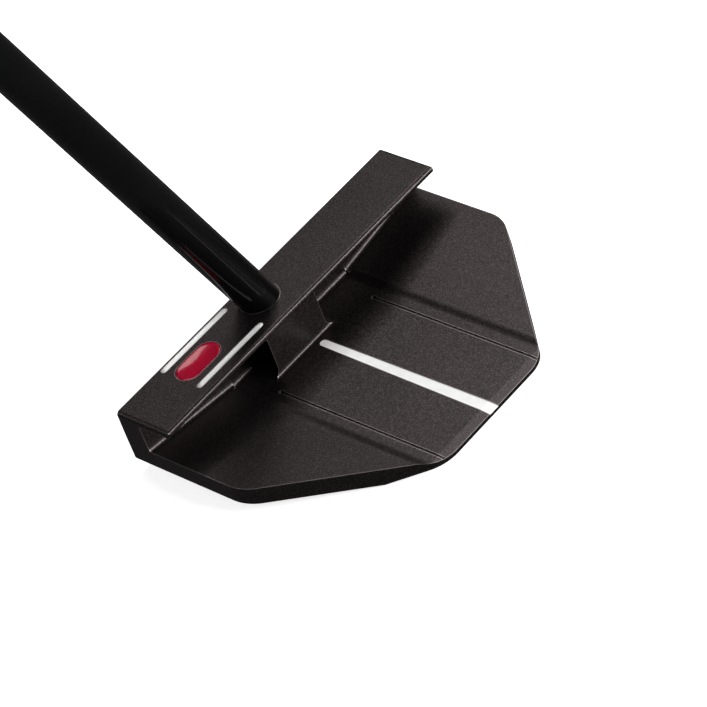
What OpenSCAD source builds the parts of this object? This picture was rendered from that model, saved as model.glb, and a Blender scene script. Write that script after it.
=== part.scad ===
// Mallet putter: a machined head with a thin top bar and a stepped flange, a
// straight steel shaft bonded into the bar, and a rubber grip.
// +Z is up, +Y is the way the face points, +X is the toe. The origin is the ground
// point on the head's centreline, in the upright plane that holds the shaft's axis.

/* [Head] */
// Length of the head, heel to toe
head_l = 95.4; // [86:0.1:105]
// Width of the top bar, rear edge to face
bar_w = 16.4; // [14:0.1:20]
// How far the face's top edge stands ahead of the shaft's axis
face_y = 6.5; // [5:0.1:9]
// Height of the top bar above the ground
head_h = 18; // [16:0.5:24]
// Thickness of the overhanging plate where it leaves the face wall
plate_t = 2.2; // [1.5:0.1:4]
// Thickness of the overhanging plate at its rear edge
plate_edge_t = 1.4; // [1:0.1:3]
// Thickness of the upright face wall at its top
wall_t = 6.4; // [5:0.1:9]
// Loft of the face in degrees
loft = 3; // [0:0.5:5]
// Radius of the top edges at the bar's two ends
end_r = 1.1; // [0.3:0.1:2]
// Radius of the inner corner along the foot of the face wall
foot_r = 1.2; // [0.5:0.1:2.5]

/* [Shaft block] */
// Heel side of the block that holds the shaft
block_heel_x = -12.5; // [-18:0.1:-10]
// Toe side of the block that holds the shaft
block_toe_x = 4.4; // [4:0.1:12]
// How far the block's rear stands in from the plate's rear edge
block_inset = 1.8; // [0:0.1:4]
// Radius of the flared sides and inner corners of the block
block_r = 2.5; // [1:0.1:4]
// Radius of the inner corner along the foot of the block's rear
block_foot_r = 0.9; // [0.3:0.1:2]

/* [Flange] */
// Distance of the flange's rear edge behind the shaft's axis
rear_y = 62.2; // [55:0.1:75]
// Half width of the flange's straight rear edge, before rounding
rear_half = 17.3; // [12:0.1:25]
// Distance behind the shaft's axis where the sides turn inwards
side_y = 28.3; // [20:0.1:40]
// Radius of the corner between a side and a slanted edge
side_r = 10; // [3:0.5:15]
// Radius of the corner between a slanted edge and the rear edge
rear_r = 9; // [3:0.5:15]
// Height of the centre panel's top above the ground
panel_z = 3.7; // [3:0.1:6]
// Distance of the thin side grooves from the centreline
groove_x = 16.8; // [12:0.1:20]
// Width of the thin side grooves
groove_w = 0.6; // [0.3:0.1:1.5]
// Distance from the centreline where the step up to a wing starts
step_x = 19; // [17:0.1:24]
// Width of the rounded step up to a wing
step_w = 3.2; // [1:0.1:6]
// Height of the rounded step up to a wing
step_h = 0.8; // [0.2:0.1:2]
// Upward slope of the wings, and of the sole under them, in degrees
wing_rise = 8; // [0:0.5:12]

/* [Sole] */
// Half length of the sole's flat middle
flat_half = 24; // [15:1:35]
// Distance behind the shaft's axis where the sole starts to rise
rear_rise_y = 49; // [35:1:60]
// Upward slope of the rear of the sole in degrees
rear_rise = 10; // [5:0.5:20]

/* [Marks] */
// Length of the two white stripes on the bar
stripe_l = 22.6; // [15:0.1:30]
// Width of the two white stripes on the bar
stripe_w = 1.6; // [1:0.1:3]
// Middle of the stripes and the dot, towards the heel
mark_x = 22; // [15:0.1:35]
// Middle of the red dot, towards the heel
dot_x = 26.8; // [18:0.1:40]
// Length of the long round-ended red dot
dot_l = 12.9; // [8:0.1:16]
// Width of the long round-ended red dot
dot_w = 6.6; // [4:0.1:10]
// Width of the flange's sight line at its front end
line_front_w = 2.1; // [1:0.1:4]
// Width of the flange's sight line at its rear end
line_rear_w = 3; // [1:0.1:5]
// Depth of the painted recesses
mark_depth = 0.5; // [0.3:0.1:1]

/* [Shaft] */
// Lean of the shaft from upright towards the heel, in degrees
lean = 20.4; // [15:0.1:25]
// Point where the shaft's axis crosses the bar's top, from the centreline
shaft_x = -4.8; // [-15:0.1:10]
// Outside diameter of the shaft's parallel tip
tip_d = 9.4; // [8.5:0.1:10]
// Outside diameter of the shaft's butt
butt_d = 14.7; // [13:0.1:16]
// Wall thickness of the shaft
shaft_wall = 0.6; // [0.4:0.1:1]
// Depth of the shaft in the head
shaft_depth = 10; // [8:0.5:14]
// Length from the ground to the end of the grip, along the shaft
club_l = 876; // [813:1:914]
// Length of the shaft's parallel tip above the bar
tip_l = 130; // [60:5:300]

/* [Grip] */
// Length of the grip
grip_l = 267; // [230:1:300]
// Largest width of the grip
grip_d = 27; // [24:0.5:34]
// Width of the grip's lower end
grip_low_d = 18.5; // [17:0.5:24]
// Distance of the grip's flat front from the shaft's axis, at the top
grip_flat = 10.2; // [9:0.1:13]
// Distance of the grip's flat front from the shaft's axis, at the lower end
grip_low_flat = 8.65; // [8:0.05:11]

/* [Sole weights] */
// Distance of each sole weight from the centreline
weight_x = 33; // [28:0.5:38]
// Distance of each sole weight behind the shaft's axis
weight_y = 9; // [5:0.5:20]
// Diameter of each sole weight
weight_d = 14; // [10:0.5:16]
// Thickness of each sole weight
weight_t = 2.5; // [2:0.1:3]
// Thread diameter of each weight's screw
screw_d = 3; // [2.5:0.5:4]

/* [Hidden] */
$fn = 96;
half_l = head_l / 2;
bar_rear = face_y - bar_w;
wall_rear = face_y - wall_t;
face_foot = face_y + head_h * tan(loft);
block_rear = bar_rear + block_inset;
corner_front_r = 2.2;
corner_rear_r = 1;
plate_upper_r = 0.9;
plate_lower_r = 0.4;
face_foot_r = 2.5;
overlap = 0.2; // how far a joined shape runs into the next one
cut = 1; // how far a cutting shape runs past the surface it opens
wing_x = step_x + step_w;
wing_z = panel_z + step_h;
rear_edge_w = 2.6;
rear_edge_drop = 0.3;
groove_depth = 0.35;
groove_front = 12;
line_front = 10.8;
paint_gap = 0.08;
stripe_inset = 1.3;
rear_stripe_inset = 3.6;
dot_y = -0.4;
bond_t = 0.15;
tip_r = tip_d / 2;
butt_r = butt_d / 2;
bore_r = tip_r + bond_t;
butt_s = club_l - head_h / cos(lean);
grip_s = butt_s - grip_l;
plug_l = 8;
tape_t = 0.25;
cap_t = 3;
cap_plug_l = 12;
cap_edge = 1.2;
lip_edge = 0.8;
tape_inset = 1;
lip_l = 12;
shoulder_l = 45;
pad_t = 0.3;
play = 0.3;
thread_play = 0.05;
bore_depth = shaft_depth + play;
weight_inset = 0.1;
thread_l = 1.3;
tip_play = 0.2;
screw_head_d = 5.4;
screw_head_h = 1.3;
hex_w = 2;
hex_depth = 0.8;
reach = 200; // longer than anything it has to cut across

// ---- outlines ----

function unit(v) = v / norm(v);

// Half of the angle at corner b of the path a, b, c.
function half_angle(a, b, c) = acos(unit(a - b) * unit(c - b)) / 2;

// A convex outline with its corners rounded: the straight parts and one disc per corner.
module rounded(points, radii) {
    n = len(points);
    cuts = [for (i = [0 : n - 1])
        let (a = points[(i + n - 1) % n], b = points[i], c = points[(i + 1) % n],
             t = radii[i] / tan(half_angle(a, b, c)))
        each [b + t * unit(a - b), b + t * unit(c - b)]];
    polygon(cuts);
    for (i = [0 : n - 1]) {
        a = points[(i + n - 1) % n];
        b = points[i];
        c = points[(i + 1) % n];
        centre = b + unit(unit(a - b) + unit(c - b)) * radii[i] / sin(half_angle(a, b, c));
        translate(centre) circle(r = radii[i]);
    }
}

// The waste outside a rounded outer corner, in the quarter where X and Y are positive.
module corner_waste(r) {
    difference() {
        square(2 * r);
        circle(r = r);
    }
}

// The fill of a rounded inner corner between the X and Y axes.
module corner_fill(r) {
    difference() {
        translate([-overlap, -overlap]) square(r + overlap);
        translate([r, r]) circle(r = r);
    }
}

// The bar and the face wall under it, from above.
module bar_outline() {
    front_y = face_foot + cut;
    rounded([[-half_l, bar_rear], [half_l, bar_rear], [half_l, front_y], [-half_l, front_y]],
            [corner_rear_r, corner_rear_r, corner_front_r, corner_front_r]);
}

// The plate across the bar: thinner at its rear edge, which is rounded.
module plate_section() {
    front_y = face_foot + 2 * cut;
    rounded([[bar_rear, head_h], [bar_rear, head_h - plate_edge_t], [wall_rear, head_h - plate_t],
             [front_y, head_h - plate_t], [front_y, head_h]],
            [plate_upper_r, plate_lower_r, overlap, overlap, overlap]);
}

// The block from behind: straight sides that flare out at the flange and the plate.
module block_section() {
    top_z = head_h - plate_edge_t;
    difference() {
        translate([block_heel_x - block_r, 0])
            square([block_toe_x - block_heel_x + 2 * block_r, top_z]);
        for (x = [block_heel_x - block_r, block_toe_x + block_r]) {
            translate([x, panel_z + block_r]) circle(r = block_r);
            translate([x, top_z - block_r]) circle(r = block_r);
            translate([x - block_r, panel_z + block_r])
                square([2 * block_r, top_z - panel_z - 2 * block_r]);
        }
    }
}

// The flange from above, with its front hidden under the face wall.
module flange_outline() {
    corners = [[half_l, wall_rear + cut], [-half_l, wall_rear + cut], [-half_l, -side_y],
               [-rear_half, -rear_y], [rear_half, -rear_y], [half_l, -side_y]];
    rounded(corners, [overlap, overlap, side_r, rear_r, rear_r, side_r]);
}

// The flange's cross-section on the toe side: panel, groove strip, step and wing.
function step_curve() = [for (i = [0 : 8])
    [step_x + step_w * i / 8, panel_z + step_h * (1 - cos(180 * i / 8)) / 2]];

module flange_section() {
    wing_top = wing_z + (half_l - wing_x) * tan(wing_rise);
    for (side = [0, 1]) {
        mirror([side, 0])
            polygon(concat([[-cut, 0], [-cut, panel_z]], step_curve(), [[half_l, wing_top], [half_l, 0]]));
    }
}

// A straight bar of the given length with round ends, lying along X.
module slot_outline(length, width) {
    square([length - width, width], center = true);
    for (side = [-1, 1]) {
        translate([side * (length - width) / 2, 0]) circle(d = width);
    }
}

// The sight line widens towards the rear and has a round front end.
module line_outline() {
    translate([0, -line_front]) circle(d = line_front_w);
    polygon([[-line_front_w / 2, -line_front], [-line_rear_w / 2, -rear_y - cut],
             [line_rear_w / 2, -rear_y - cut], [line_front_w / 2, -line_front]]);
}

// ---- places ----

// The shaft's own frame: its origin is where the axis crosses the bar's top.
module along_shaft() {
    translate([shaft_x, 0, head_h]) rotate([0, -lean, 0]) children();
}

// The frame of one sole weight: +Z points into the head from the sole's surface.
module at_weight(side) {
    surface_z = (weight_x - flat_half) * tan(wing_rise);
    translate([side * weight_x, -weight_y, surface_z]) rotate([0, -side * wing_rise, 0]) children();
}

module at_front_stripe() {
    translate([-mark_x, face_y - stripe_inset, head_h - mark_depth]) children();
}

module at_rear_stripe() {
    translate([-mark_x, bar_rear + rear_stripe_inset, head_h - mark_depth]) children();
}

// ---- head ----

// Everything under the sole: the rising heel, toe and rear.
module below_sole() {
    for (side = [-1, 1]) {
        translate([side * flat_half, 0, 0]) rotate([0, -side * wing_rise, 0])
            translate([side * reach / 2, 0, -reach / 2]) cube(reach, center = true);
    }
    translate([0, -rear_rise_y, 0]) rotate([-rear_rise, 0, 0])
        translate([0, -reach / 2, -reach / 2]) cube(reach, center = true);
}

// Everything ahead of the lofted face, and the rounded foot of the face.
module ahead_of_face() {
    translate([0, face_y, head_h]) rotate([loft, 0, 0])
        translate([0, reach / 2, 0]) cube(reach, center = true);
    translate([-reach / 2, face_foot - face_foot_r, face_foot_r]) mirror([0, 0, 1])
        rotate([90, 0, 90]) linear_extrude(reach) corner_waste(face_foot_r);
}

// Everything past the rounded top edges at the bar's two ends.
module past_bar_ends() {
    for (side = [0, 1]) {
        mirror([side, 0, 0]) translate([half_l - end_r, reach / 2, head_h - end_r])
            rotate([90, 0, 0]) linear_extrude(reach) corner_waste(end_r);
    }
}

// The gentle slope along the top of the rear edge.
module above_rear_edge() {
    translate([0, -rear_y + rear_edge_w, panel_z]) rotate([atan(rear_edge_drop / rear_edge_w), 0, 0])
        translate([0, -rear_edge_w, cut / 2])
        cube([2 * step_x, 2 * rear_edge_w, cut], center = true);
}

module flange() {
    intersection() {
        linear_extrude(head_h) flange_outline();
        translate([0, reach / 2, 0]) rotate([90, 0, 0]) linear_extrude(reach) flange_section();
    }
}

// The block that holds the shaft, with rounded corners along its foot and at the face wall.
module shaft_block() {
    depth = wall_rear + cut - block_rear;
    translate([0, wall_rear + cut, 0]) rotate([90, 0, 0]) linear_extrude(depth) block_section();
    intersection() {
        translate([0, block_rear, 0]) rotate([90, 0, 0]) linear_extrude(block_foot_r) block_section();
        translate([-reach / 2, block_rear, panel_z]) foot_fillet(reach, block_foot_r);
    }
    linear_extrude(head_h - plate_t / 2) {
        translate([block_toe_x, wall_rear]) mirror([0, 1]) corner_fill(block_r);
        translate([block_heel_x, wall_rear]) mirror([1, 0]) mirror([0, 1]) corner_fill(block_r);
    }
}

// A fillet that runs along X, on the rear side of a wall.
module foot_fillet(length, r) {
    mirror([0, 1, 0]) rotate([90, 0, 90]) linear_extrude(length) corner_fill(r);
}

// The fillets along the foot of the face wall, level at the panel and rising on the wings.
module wall_fillets() {
    start_x = wing_x - step_w / 2;
    translate([-wing_x, wall_rear, panel_z]) foot_fillet(2 * wing_x, foot_r);
    for (side = [0, 1]) {
        mirror([side, 0, 0])
            translate([start_x, wall_rear, wing_z - step_w / 2 * tan(wing_rise)])
            rotate([0, -wing_rise, 0]) foot_fillet(half_l, foot_r);
    }
}

module face_wall() {
    intersection() {
        linear_extrude(head_h - plate_t / 2) bar_outline();
        union() {
            translate([-reach / 2, wall_rear, 0]) cube([reach, reach, head_h]);
            wall_fillets();
        }
    }
}

module top_plate() {
    intersection() {
        linear_extrude(head_h) bar_outline();
        translate([-reach / 2, 0, 0]) rotate([90, 0, 90]) linear_extrude(reach) plate_section();
    }
}

// The thin groove beside the centre panel, with a wider round start.
module side_groove(side) {
    translate([side * groove_x, 0, panel_z - groove_depth]) linear_extrude(cut) {
        translate([-groove_w / 2, -rear_y - cut]) square([groove_w, rear_y + cut - groove_front]);
        translate([0, -groove_front]) circle(d = 2 * groove_w);
    }
}

module weight_pocket() {
    pocket_h = weight_inset + weight_t + pad_t;
    translate([0, 0, -cut]) cylinder(d = weight_d + 2 * play, h = pocket_h + cut);
    cylinder(d = screw_d + 2 * thread_play, h = pocket_h + thread_l + tip_play);
}

module head_body() {
    color([0.13, 0.13, 0.14])
    difference() {
        union() {
            flange();
            face_wall();
            top_plate();
            shaft_block();
        }
        below_sole();
        ahead_of_face();
        past_bar_ends();
        above_rear_edge();
        along_shaft() translate([0, 0, -bore_depth]) cylinder(r = bore_r, h = reach);
        at_front_stripe() linear_extrude(cut) slot_outline(stripe_l, stripe_w);
        at_rear_stripe() linear_extrude(cut) slot_outline(stripe_l, stripe_w);
        translate([-dot_x, dot_y, head_h - mark_depth]) linear_extrude(cut) slot_outline(dot_l, dot_w);
        translate([0, 0, panel_z - mark_depth]) linear_extrude(cut) line_outline();
        for (side = [-1, 1]) {
            side_groove(side);
            at_weight(side) weight_pocket();
        }
    }
}

// ---- painted marks ----

module stripe_fill() {
    linear_extrude(mark_depth - paint_gap) slot_outline(stripe_l, stripe_w);
}

module bar_front_stripe() {
    color([0.95, 0.95, 0.95]) at_front_stripe() stripe_fill();
}

module bar_rear_stripe() {
    color([0.95, 0.95, 0.95]) at_rear_stripe() stripe_fill();
}

module aim_dot() {
    color([0.8, 0.02, 0.08])
    translate([-dot_x, dot_y, head_h - mark_depth])
        linear_extrude(mark_depth - paint_gap) slot_outline(dot_l, dot_w);
}

module deck_sight_line() {
    color([0.95, 0.95, 0.95])
    difference() {
        intersection() {
            translate([0, 0, panel_z - mark_depth])
                linear_extrude(mark_depth - paint_gap) line_outline();
            linear_extrude(head_h) flange_outline();
        }
        translate([0, 0, -paint_gap]) above_rear_edge();
    }
}

// ---- sole weights ----

module weight_disc() {
    translate([0, 0, weight_inset]) difference() {
        cylinder(d = weight_d, h = weight_t);
        translate([0, 0, -cut]) cylinder(d = screw_d + 2 * play, h = weight_t + 2 * cut);
        translate([0, 0, -cut]) cylinder(d = screw_head_d + 2 * play, h = screw_head_h + cut);
    }
}

module weight_pad() {
    translate([0, 0, weight_inset + weight_t]) difference() {
        cylinder(d = weight_d, h = pad_t);
        translate([0, 0, -cut]) cylinder(d = screw_d + 2 * play, h = pad_t + 2 * cut);
    }
}

module weight_screw() {
    tip = weight_inset + weight_t + pad_t + thread_l;
    difference() {
        union() {
            translate([0, 0, weight_inset]) cylinder(d = screw_head_d, h = screw_head_h);
            translate([0, 0, weight_inset]) cylinder(d = screw_d, h = tip - weight_inset);
        }
        translate([0, 0, -cut])
            cylinder(d = hex_w / cos(30), h = hex_depth + weight_inset + cut, $fn = 6);
    }
}

module heel_weight() {
    color([0.55, 0.55, 0.57]) at_weight(-1) weight_disc();
}

module toe_weight() {
    color([0.55, 0.55, 0.57]) at_weight(1) weight_disc();
}

module heel_weight_pad() {
    color([0.1, 0.1, 0.1]) at_weight(-1) weight_pad();
}

module toe_weight_pad() {
    color([0.1, 0.1, 0.1]) at_weight(1) weight_pad();
}

module heel_weight_screw() {
    color([0.3, 0.3, 0.32]) at_weight(-1) weight_screw();
}

module toe_weight_screw() {
    color([0.3, 0.3, 0.32]) at_weight(1) weight_screw();
}

// ---- shaft ----

// Outside radius of the shaft at distance s up from the bar.
function shaft_r(s) = s < tip_l ? tip_r
    : s > grip_s ? butt_r
    : tip_r + (butt_r - tip_r) * (s - tip_l) / (grip_s - tip_l);

module shaft() {
    shoulders = [-shaft_depth, tip_l, grip_s, butt_s - cap_t];
    outside = [for (s = shoulders) [shaft_r(s), s]];
    inside = [for (i = [3 : -1 : 0]) [shaft_r(shoulders[i]) - shaft_wall, shoulders[i]]];
    color([0.03, 0.03, 0.03])
    along_shaft() rotate_extrude() polygon(concat(outside, inside));
}

// The bonding sleeve around the shaft, level with the bar's top.
module shaft_bond() {
    color([0.25, 0.22, 0.12])
    difference() {
        along_shaft() translate([0, 0, -bore_depth]) cylinder(r = bore_r, h = bore_depth + tip_d);
        along_shaft() translate([0, 0, -shaft_depth]) cylinder(r = tip_r, h = reach);
        translate([-reach / 2, -reach / 2, head_h - paint_gap]) cube(reach);
    }
}

module shaft_tip_plug() {
    color([0.6, 0.45, 0.3])
    along_shaft() translate([0, 0, -shaft_depth]) cylinder(r = tip_r - shaft_wall, h = plug_l);
}

// ---- grip ----

module grip_tape() {
    color([0.8, 0.78, 0.7])
    along_shaft() translate([0, 0, grip_s + tape_inset]) difference() {
        cylinder(r = butt_r + tape_t, h = grip_l - cap_t - tape_inset);
        translate([0, 0, -cut]) cylinder(r = butt_r, h = grip_l + 2 * cut);
    }
}

// The grip swells from its lower lip to a shoulder near the top.
module grip_outside() {
    rotate_extrude() polygon([
        [0, grip_s], [grip_low_d / 2 - lip_edge, grip_s], [grip_low_d / 2, grip_s + lip_edge],
        [grip_low_d / 2, grip_s + lip_l], [grip_d / 2, butt_s - shoulder_l],
        [grip_d / 2, butt_s - cap_t], [0, butt_s - cap_t]]);
}

// Everything ahead of the grip's flat front, which faces away from the golfer.
module ahead_of_grip_flat() {
    taper = atan((grip_flat - grip_low_flat) / (grip_l - shoulder_l));
    translate([grip_flat, 0, butt_s - shoulder_l]) {
        rotate([0, taper, 0]) translate([0, -reach / 2, -grip_l]) cube([reach, reach, grip_l]);
        translate([0, -reach / 2, -cut]) cube([reach, reach, shoulder_l + 2 * cut]);
    }
}

module grip() {
    color([0.08, 0.08, 0.085])
    along_shaft() difference() {
        grip_outside();
        ahead_of_grip_flat();
        translate([0, 0, grip_s - cut]) cylinder(r = butt_r + tape_t, h = grip_l + 2 * cut);
    }
}

// The button that closes the top of the grip and plugs the shaft.
module grip_end_cap() {
    color([0.08, 0.08, 0.085])
    along_shaft() translate([0, 0, butt_s - cap_t]) {
        difference() {
            rotate_extrude() polygon([[0, 0], [grip_d / 2, 0], [grip_d / 2, cap_t - cap_edge],
                                      [grip_d / 2 - cap_edge, cap_t], [0, cap_t]]);
            translate([grip_flat, -reach / 2, -cut]) cube([reach, reach, cap_t + 2 * cut]);
        }
        translate([0, 0, -cap_plug_l]) cylinder(r = butt_r - shaft_wall, h = cap_plug_l + cut);
    }
}

head_body();
bar_front_stripe();
bar_rear_stripe();
aim_dot();
deck_sight_line();
heel_weight();
toe_weight();
heel_weight_pad();
toe_weight_pad();
heel_weight_screw();
toe_weight_screw();
shaft();
shaft_bond();
shaft_tip_plug();
grip_tape();
grip();
grip_end_cap();
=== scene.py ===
"""Looks for the mallet putter: bead-blasted black head, painted marks, gloss black shaft
and rubber grip, on a pale floor under soft studio light. Lengths are in metres, in the
part's own frame: +Z up, +Y the way the face points, +X the toe."""

import math

import bpy
from mathutils import Matrix, Vector


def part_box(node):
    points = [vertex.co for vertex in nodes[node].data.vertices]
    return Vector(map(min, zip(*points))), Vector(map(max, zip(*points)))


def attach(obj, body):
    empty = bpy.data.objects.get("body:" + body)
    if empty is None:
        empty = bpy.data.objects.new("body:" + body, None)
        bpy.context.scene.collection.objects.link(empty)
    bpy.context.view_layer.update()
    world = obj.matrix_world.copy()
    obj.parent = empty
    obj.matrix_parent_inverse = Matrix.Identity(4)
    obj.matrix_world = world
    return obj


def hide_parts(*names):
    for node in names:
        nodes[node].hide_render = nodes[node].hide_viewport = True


MM = 0.001

# The camera looks at a point near the head's middle, along a direction and turned about it.
CAMERA_AIM = Vector((-3.48, -24.96, 9.08)) * MM
CAMERA_AZIMUTH = math.radians(-35.285)
CAMERA_ELEVATION = math.radians(40.497)
CAMERA_ROLL = math.radians(21.217)
CAMERA_DISTANCE = 840.25 * MM
CAMERA_LENS = 190.12
CAMERA_SENSOR = 36
CAMERA_NEAREST = 10 * MM

# How widely machined edges are rounded, and which angles count as edges.
HEAD_EDGE = 0.3 * MM
WEIGHT_EDGE = 0.15 * MM
SCREW_EDGE = 0.1 * MM
EDGE_ANGLE = math.radians(28)
EDGE_SEGMENTS = 3

# How wide the painted highlight along the head's edges is, and the dot product of a rounded and a
# real normal where an edge gets the full painted highlight and where a face gets none.
HIGHLIGHT_WIDTH = 0.35 * MM
FULL_HIGHLIGHT = 0.88
NO_HIGHLIGHT = 0.998

# How far each paint fill dips in its middle, and how finely it is meshed.
STRIPE_DIP = 0.12 * MM
DOT_DIP = 0.3 * MM
FILL_RINGS = 8
FILL_SPOKES = 64

FLOOR_HALF = 3.0
FLOOR_Z = -0.2 * MM
FLOOR_GLOW = 0.8
WORLD_STRENGTH = 0.07

# Most of a noise's values lie between these two.
NOISE_LOW = 0.3
NOISE_HIGH = 0.7

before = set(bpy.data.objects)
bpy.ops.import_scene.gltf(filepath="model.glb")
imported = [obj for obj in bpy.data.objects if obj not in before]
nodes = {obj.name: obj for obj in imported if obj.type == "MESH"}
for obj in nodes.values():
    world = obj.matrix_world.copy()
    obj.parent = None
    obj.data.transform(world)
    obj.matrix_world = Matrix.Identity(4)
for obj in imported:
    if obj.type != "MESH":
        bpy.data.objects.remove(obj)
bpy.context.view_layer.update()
head_low, head_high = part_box("head_body")
head_centre = (head_low + head_high) / 2


# ---- shader helpers ----

def new_material(name, **sockets):
    """A node material whose even values sit on the shader's own sockets."""
    material = bpy.data.materials.new(name)
    material.use_nodes = True
    shader = material.node_tree.nodes["Principled BSDF"]
    for socket, value in sockets.items():
        shader.inputs[socket.replace("_", " ")].default_value = value
    return material, material.node_tree, shader


def add(tree, kind, inputs=None, **settings):
    """A node with its settings and unlinked inputs."""
    node = tree.nodes.new(kind)
    for key, value in settings.items():
        setattr(node, key, value)
    for key, value in (inputs or {}).items():
        node.inputs[key].default_value = value
    return node


def noise(tree, scale, detail):
    """Noise that stays with its piece; scale is in features a metre."""
    place = add(tree, "ShaderNodeTexCoord").outputs["Object"]
    node = add(tree, "ShaderNodeTexNoise", {"Scale": scale, "Detail": detail})
    tree.links.new(place, node.inputs["Vector"])
    return node.outputs["Fac"]


def ramp(tree, value, stops):
    """value read through a colour ramp; stops are (position, grey level or colour)."""
    node = add(tree, "ShaderNodeValToRGB")
    elements = node.color_ramp.elements
    while len(elements) < len(stops):
        elements.new(0.5)
    for element, (position, colour) in zip(elements, stops):
        element.position = position
        element.color = (*colour, 1) if isinstance(colour, tuple) else (colour, colour, colour, 1)
    tree.links.new(value, node.inputs["Fac"])
    return node.outputs["Color"]


def mottle(tree, shader, value, dark, light):
    """Colours the shader from dark to light as a noise goes from low to high."""
    colour = ramp(tree, value, [(NOISE_LOW, dark), (NOISE_HIGH, light)])
    tree.links.new(colour, shader.inputs["Base Color"])


def vary_roughness(tree, shader, value, low, high):
    """Takes the shader's roughness from low to high as a noise goes from low to high."""
    node = add(tree, "ShaderNodeMapRange",
               {"From Min": NOISE_LOW, "From Max": NOISE_HIGH, "To Min": low, "To Max": high})
    tree.links.new(value, node.inputs["Value"])
    tree.links.new(node.outputs["Result"], shader.inputs["Roughness"])


def bump(tree, shader, height, depth):
    """Makes the surface look raised by up to depth where height is one."""
    node = add(tree, "ShaderNodeBump", {"Strength": 1.0, "Distance": depth})
    tree.links.new(height, node.inputs["Height"])
    tree.links.new(node.outputs["Normal"], shader.inputs["Normal"])


def edge_highlight_mask(tree):
    """One on sharp edges and zero on flat faces, from how far a rounded normal is turned: the
    mask of a painted edge highlight.
    """
    real = add(tree, "ShaderNodeNewGeometry")
    rounded = add(tree, "ShaderNodeBevel", {"Radius": HIGHLIGHT_WIDTH}, samples=8)
    likeness = add(tree, "ShaderNodeVectorMath", operation="DOT_PRODUCT")
    tree.links.new(real.outputs["Normal"], likeness.inputs[0])
    tree.links.new(rounded.outputs["Normal"], likeness.inputs[1])
    return ramp(tree, likeness.outputs["Value"], [(FULL_HIGHLIGHT, 1.0), (NO_HIGHLIGHT, 0.0)])


# ---- materials ----

def blasted_metal():
    """Near-black metal with a fine bead-blasted grain and cloudiness, and a painted highlight on
    its edges.
    """
    material, tree, shader = new_material("blasted_black_metal", Metallic=0.85)
    grain = noise(tree, scale=3400, detail=2)
    clouds = noise(tree, scale=40, detail=3)
    dark = (0.016, 0.0125, 0.0125)
    middling = (0.030, 0.024, 0.024)
    light = (0.070, 0.057, 0.057)
    # A lighter colour painted along the edges as a highlight, not wear.
    painted_highlight_colour = (0.22, 0.19, 0.19, 1)
    darkest_cloud = 0.86
    speckle = ramp(tree, grain, [(0.32, dark), (0.50, middling), (0.70, light)])
    shade = ramp(tree, clouds, [(NOISE_LOW, darkest_cloud), (NOISE_HIGH, 1.0)])
    clouded = add(tree, "ShaderNodeMix", {"Factor": 1.0}, data_type="RGBA",
                  blend_type="MULTIPLY")
    tree.links.new(speckle, clouded.inputs["A"])
    tree.links.new(shade, clouded.inputs["B"])
    # Mixes the painted edge highlight in wherever the bevel mask finds an edge.
    highlighted = add(tree, "ShaderNodeMix", {"B": painted_highlight_colour}, data_type="RGBA")
    tree.links.new(edge_highlight_mask(tree), highlighted.inputs["Factor"])
    tree.links.new(clouded.outputs["Result"], highlighted.inputs["A"])
    tree.links.new(highlighted.outputs["Result"], shader.inputs["Base Color"])
    vary_roughness(tree, shader, grain, low=0.28, high=0.40)
    bump(tree, shader, grain, depth=0.008 * MM)
    return material


def white_paint():
    """White paint with a faintly uneven film."""
    material, tree, shader = new_material("white_paint", Roughness=0.38)
    film = noise(tree, scale=500, detail=3)
    mottle(tree, shader, film, dark=(0.84, 0.84, 0.83), light=(0.92, 0.92, 0.91))
    bump(tree, shader, film, depth=0.02 * MM)
    return material


def red_enamel():
    """Glossy red enamel with a faintly uneven film."""
    material, tree, shader = new_material("red_enamel", Roughness=0.12)
    film = noise(tree, scale=260, detail=2)
    mottle(tree, shader, film, dark=(0.30, 0.0, 0.018), light=(0.40, 0.0005, 0.026))
    bump(tree, shader, film, depth=0.01 * MM)
    return material


def gloss_black():
    """Black paint on the steel shaft, with a faint orange peel."""
    material, tree, shader = new_material("gloss_black_paint", IOR=1.3)
    peel = noise(tree, scale=350, detail=2)
    clouds = noise(tree, scale=30, detail=3)
    mottle(tree, shader, clouds, dark=(0.0015, 0.0015, 0.0016), light=(0.0030, 0.0030, 0.0032))
    vary_roughness(tree, shader, peel, low=0.09, high=0.16)
    bump(tree, shader, peel, depth=0.003 * MM)
    return material


def bare_steel():
    """Bare steel of the sole weights, with a fine mottled grain."""
    material, tree, shader = new_material("bare_steel", Metallic=1.0)
    grain = noise(tree, scale=900, detail=3)
    mottle(tree, shader, grain, dark=(0.36, 0.36, 0.37), light=(0.55, 0.55, 0.56))
    vary_roughness(tree, shader, grain, low=0.20, high=0.36)
    bump(tree, shader, grain, depth=0.01 * MM)
    return material


def black_oxide():
    """Black oxide on the screws."""
    material, tree, shader = new_material("black_oxide_screw", Roughness=0.4, Metallic=1.0)
    grain = noise(tree, scale=1500, detail=3)
    mottle(tree, shader, grain, dark=(0.03, 0.03, 0.033), light=(0.07, 0.07, 0.075))
    bump(tree, shader, grain, depth=0.006 * MM)
    return material


def speckled(name, dark, light, roughness, scale, depth):
    """A plain, slightly speckled stuff such as rubber, cork, epoxy or tape."""
    material, tree, shader = new_material(name, Roughness=roughness)
    speck = noise(tree, scale, detail=4)
    mottle(tree, shader, speck, dark, light)
    bump(tree, shader, speck, depth)
    return material


# ---- pieces ----

def dress(node, material, edge=None):
    """Gives a CAD node its material and, where asked, small rounded edges."""
    piece = nodes[node]
    piece.data.materials.clear()
    piece.data.materials.append(material)
    if edge:
        rounding = piece.modifiers.new("edges", "BEVEL")
        rounding.width = edge
        rounding.segments = EDGE_SEGMENTS
        rounding.limit_method = "ANGLE"
        rounding.angle_limit = EDGE_ANGLE
        rounding.use_clamp_overlap = False
        shading = piece.modifiers.new("flat_faces_stay_flat", "WEIGHTED_NORMAL")
        shading.weight = 100


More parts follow.
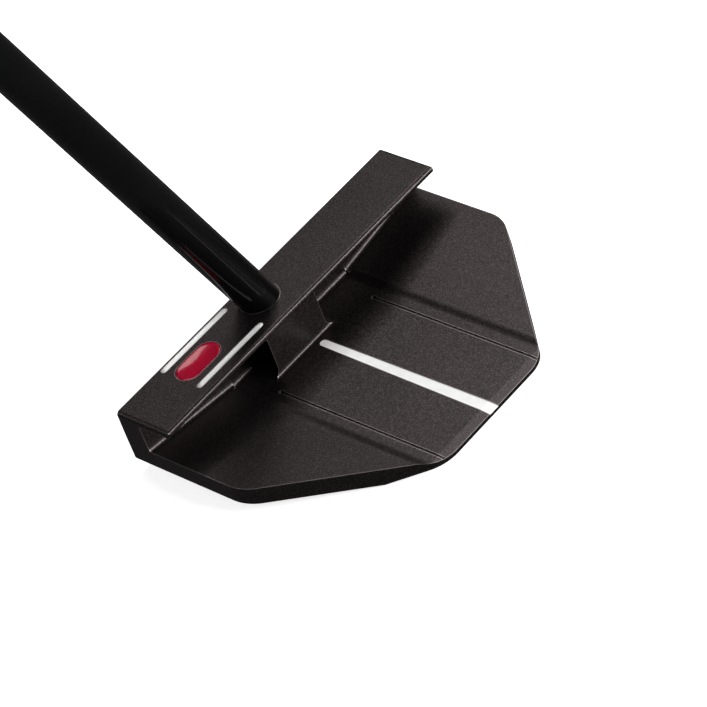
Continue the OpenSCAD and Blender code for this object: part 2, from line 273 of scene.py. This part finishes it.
def fill_points(low, high, dip):
    """The middle of a dish that fills the box, its rings outwards, and its rim again below."""
    centre = (low + high) / 2
    radius = (high.y - low.y) / 2
    straight = (high.x - low.x) / 2 - radius
    points = [(centre.x, centre.y, high.z - dip)]
    for ring in range(1, FILL_RINGS + 1):
        reach = ring / FILL_RINGS
        for spoke in range(FILL_SPOKES):
            turn = math.tau * (spoke + 0.5) / FILL_SPOKES
            x = math.copysign(straight, math.cos(turn)) + radius * math.cos(turn)
            y = radius * math.sin(turn)
            points.append((centre.x + reach * x, centre.y + reach * y,
                           high.z - dip * (1 - reach ** 2)))
    return points + [(x, y, low.z) for x, y, z in points[-FILL_SPOKES:]]


def fill_faces():
    """A fan in the middle, quads between the rings and down the side, and one face below."""
    faces = [(0, 1 + spoke, 1 + (spoke + 1) % FILL_SPOKES) for spoke in range(FILL_SPOKES)]
    for ring in range(FILL_RINGS):
        inner = 1 + ring * FILL_SPOKES
        outer = inner + FILL_SPOKES
        for spoke in range(FILL_SPOKES):
            after = (spoke + 1) % FILL_SPOKES
            faces.append((inner + spoke, outer + spoke, outer + after, inner + after))
    rim = 1 + FILL_RINGS * FILL_SPOKES
    faces.append(tuple(range(rim + FILL_SPOKES - 1, rim - 1, -1)))
    return faces


def dished_fill(node, name, material, dip):
    """A round-ended paint fill that has shrunk into a shallow dish; replaces its CAD node."""
    low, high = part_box(node)
    faces = fill_faces()
    mesh = bpy.data.meshes.new(name)
    mesh.from_pydata(fill_points(low, high, dip), [], faces)
    top_faces = FILL_RINGS * FILL_SPOKES
    mesh.polygons.foreach_set("use_smooth", [i < top_faces for i in range(len(faces))])
    mesh.materials.append(material)
    piece = bpy.data.objects.new(name, mesh)
    bpy.context.scene.collection.objects.link(piece)
    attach(piece, "club")
    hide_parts(node)


def dress_head():
    """The metal of the head, its white marks and its red dot."""
    paint = white_paint()
    dress("head_body", blasted_metal(), HEAD_EDGE)
    dress("deck_sight_line", paint)
    dished_fill("bar_front_stripe", "front_stripe_paint", paint, STRIPE_DIP)
    dished_fill("bar_rear_stripe", "rear_stripe_paint", paint, STRIPE_DIP)
    dished_fill("aim_dot", "red_dot_enamel", red_enamel(), DOT_DIP)


def dress_weights():
    """The sole weights with their pads and screws."""
    steel = bare_steel()
    oxide = black_oxide()
    pad = speckled("pad_rubber", dark=(0.010, 0.010, 0.010), light=(0.03, 0.03, 0.03),
                   roughness=0.8, scale=800, depth=0.03 * MM)
    for side in ("heel", "toe"):
        dress(f"{side}_weight", steel, WEIGHT_EDGE)
        dress(f"{side}_weight_pad", pad)
        dress(f"{side}_weight_screw", oxide, SCREW_EDGE)


def dress_shaft():
    """The painted shaft, and the epoxy and the plug at its tip."""
    epoxy = speckled("epoxy", dark=(0.05, 0.045, 0.03), light=(0.10, 0.09, 0.06),
                     roughness=0.4, scale=400, depth=0.02 * MM)
    cork = speckled("cork", dark=(0.25, 0.15, 0.08), light=(0.45, 0.30, 0.18),
                    roughness=0.9, scale=500, depth=0.1 * MM)
    dress("shaft", gloss_black())
    dress("shaft_bond", epoxy)
    dress("shaft_tip_plug", cork)


def dress_grip():
    """The rubber grip with its cap, and the tape under it."""
    rubber = speckled("grip_rubber", dark=(0.012, 0.012, 0.013), light=(0.028, 0.028, 0.030),
                      roughness=0.75, scale=900, depth=0.05 * MM)
    tape = speckled("paper_tape", dark=(0.55, 0.52, 0.42), light=(0.70, 0.67, 0.56),
                    roughness=0.8, scale=300, depth=0.03 * MM)
    dress("grip", rubber)
    dress("grip_end_cap", rubber)
    dress("grip_tape", tape)


# ---- stage ----

def floor():
    """A wide pale floor, a hair below the sole, that gives off light of its own. Glossy
    reflections don't show it."""
    corners = [(-FLOOR_HALF, -FLOOR_HALF, FLOOR_Z), (FLOOR_HALF, -FLOOR_HALF, FLOOR_Z),
               (FLOOR_HALF, FLOOR_HALF, FLOOR_Z), (-FLOOR_HALF, FLOOR_HALF, FLOOR_Z)]
    mesh = bpy.data.meshes.new("floor")
    mesh.from_pydata(corners, [], [(0, 1, 2, 3)])
    material, tree, shader = new_material("pale_floor", Roughness=0.85,
                                          Emission_Color=(1, 1, 1, 1),
                                          Emission_Strength=FLOOR_GLOW)
    patches = noise(tree, scale=3, detail=2)
    mottle(tree, shader, patches, dark=(0.93, 0.93, 0.93), light=(0.95, 0.95, 0.95))
    mesh.materials.append(material)
    piece = bpy.data.objects.new("floor", mesh)
    bpy.context.scene.collection.objects.link(piece)
    piece.visible_glossy = False


def softbox(name, direction, distance, size, power):
    """A rectangular light that faces the head, with its long side as near X as it can be."""
    lamp = bpy.data.lights.new(name, "AREA")
    lamp.shape = "RECTANGLE"
    lamp.size, lamp.size_y = size
    lamp.energy = power
    holder = bpy.data.objects.new(name, lamp)
    bpy.context.scene.collection.objects.link(holder)
    away = Vector(direction).normalized()
    across = away.cross(Vector((1, 0, 0))).normalized()
    turn = Matrix((across.cross(away), across, away)).transposed().to_4x4()
    holder.matrix_world = Matrix.Translation(head_centre + away * distance) @ turn


def light_studio():
    """Dim white surroundings, a key light high in front, and lower lights behind and in front."""
    world = bpy.data.worlds.new("studio")
    bpy.context.scene.world = world
    world.use_nodes = True
    background = world.node_tree.nodes["Background"]
    background.inputs["Color"].default_value = (1, 1, 1, 1)
    background.inputs["Strength"].default_value = WORLD_STRENGTH
    bpy.context.scene.view_settings.view_transform = "Standard"
    softbox("key", (0.46, 0.35, 0.82), distance=0.8, size=(0.75, 0.42), power=3.6)
    softbox("rear_fill", (0.45, -0.75, 0.40), distance=1.0, size=(0.8, 0.4), power=13)
    softbox("front_fill", (-0.4, 0.85, 0.35), distance=1.2, size=(0.8, 0.4), power=3)


def camera():
    """Looks at the head from behind the heel side, rolled so that the bar rises to the right."""
    level = math.cos(CAMERA_ELEVATION)
    ahead = Vector((-math.sin(CAMERA_AZIMUTH) * level, math.cos(CAMERA_AZIMUTH) * level,
                    -math.sin(CAMERA_ELEVATION)))
    sideways = ahead.cross(Vector((0, 0, 1))).normalized()
    right = Matrix.Rotation(CAMERA_ROLL, 3, ahead) @ sideways
    up = right.cross(ahead)
    data = bpy.data.cameras.new("camera")
    data.sensor_width = CAMERA_SENSOR
    data.lens = CAMERA_LENS
    data.clip_start = CAMERA_NEAREST
    eye = bpy.data.objects.new("camera", data)
    bpy.context.scene.collection.objects.link(eye)
    turn = Matrix((right, up, -ahead)).transposed().to_4x4()
    eye.matrix_world = Matrix.Translation(CAMERA_AIM - ahead * CAMERA_DISTANCE) @ turn
    bpy.context.scene.camera = eye


camera()
dress_head()
dress_weights()
dress_shaft()
dress_grip()
floor()
light_studio()
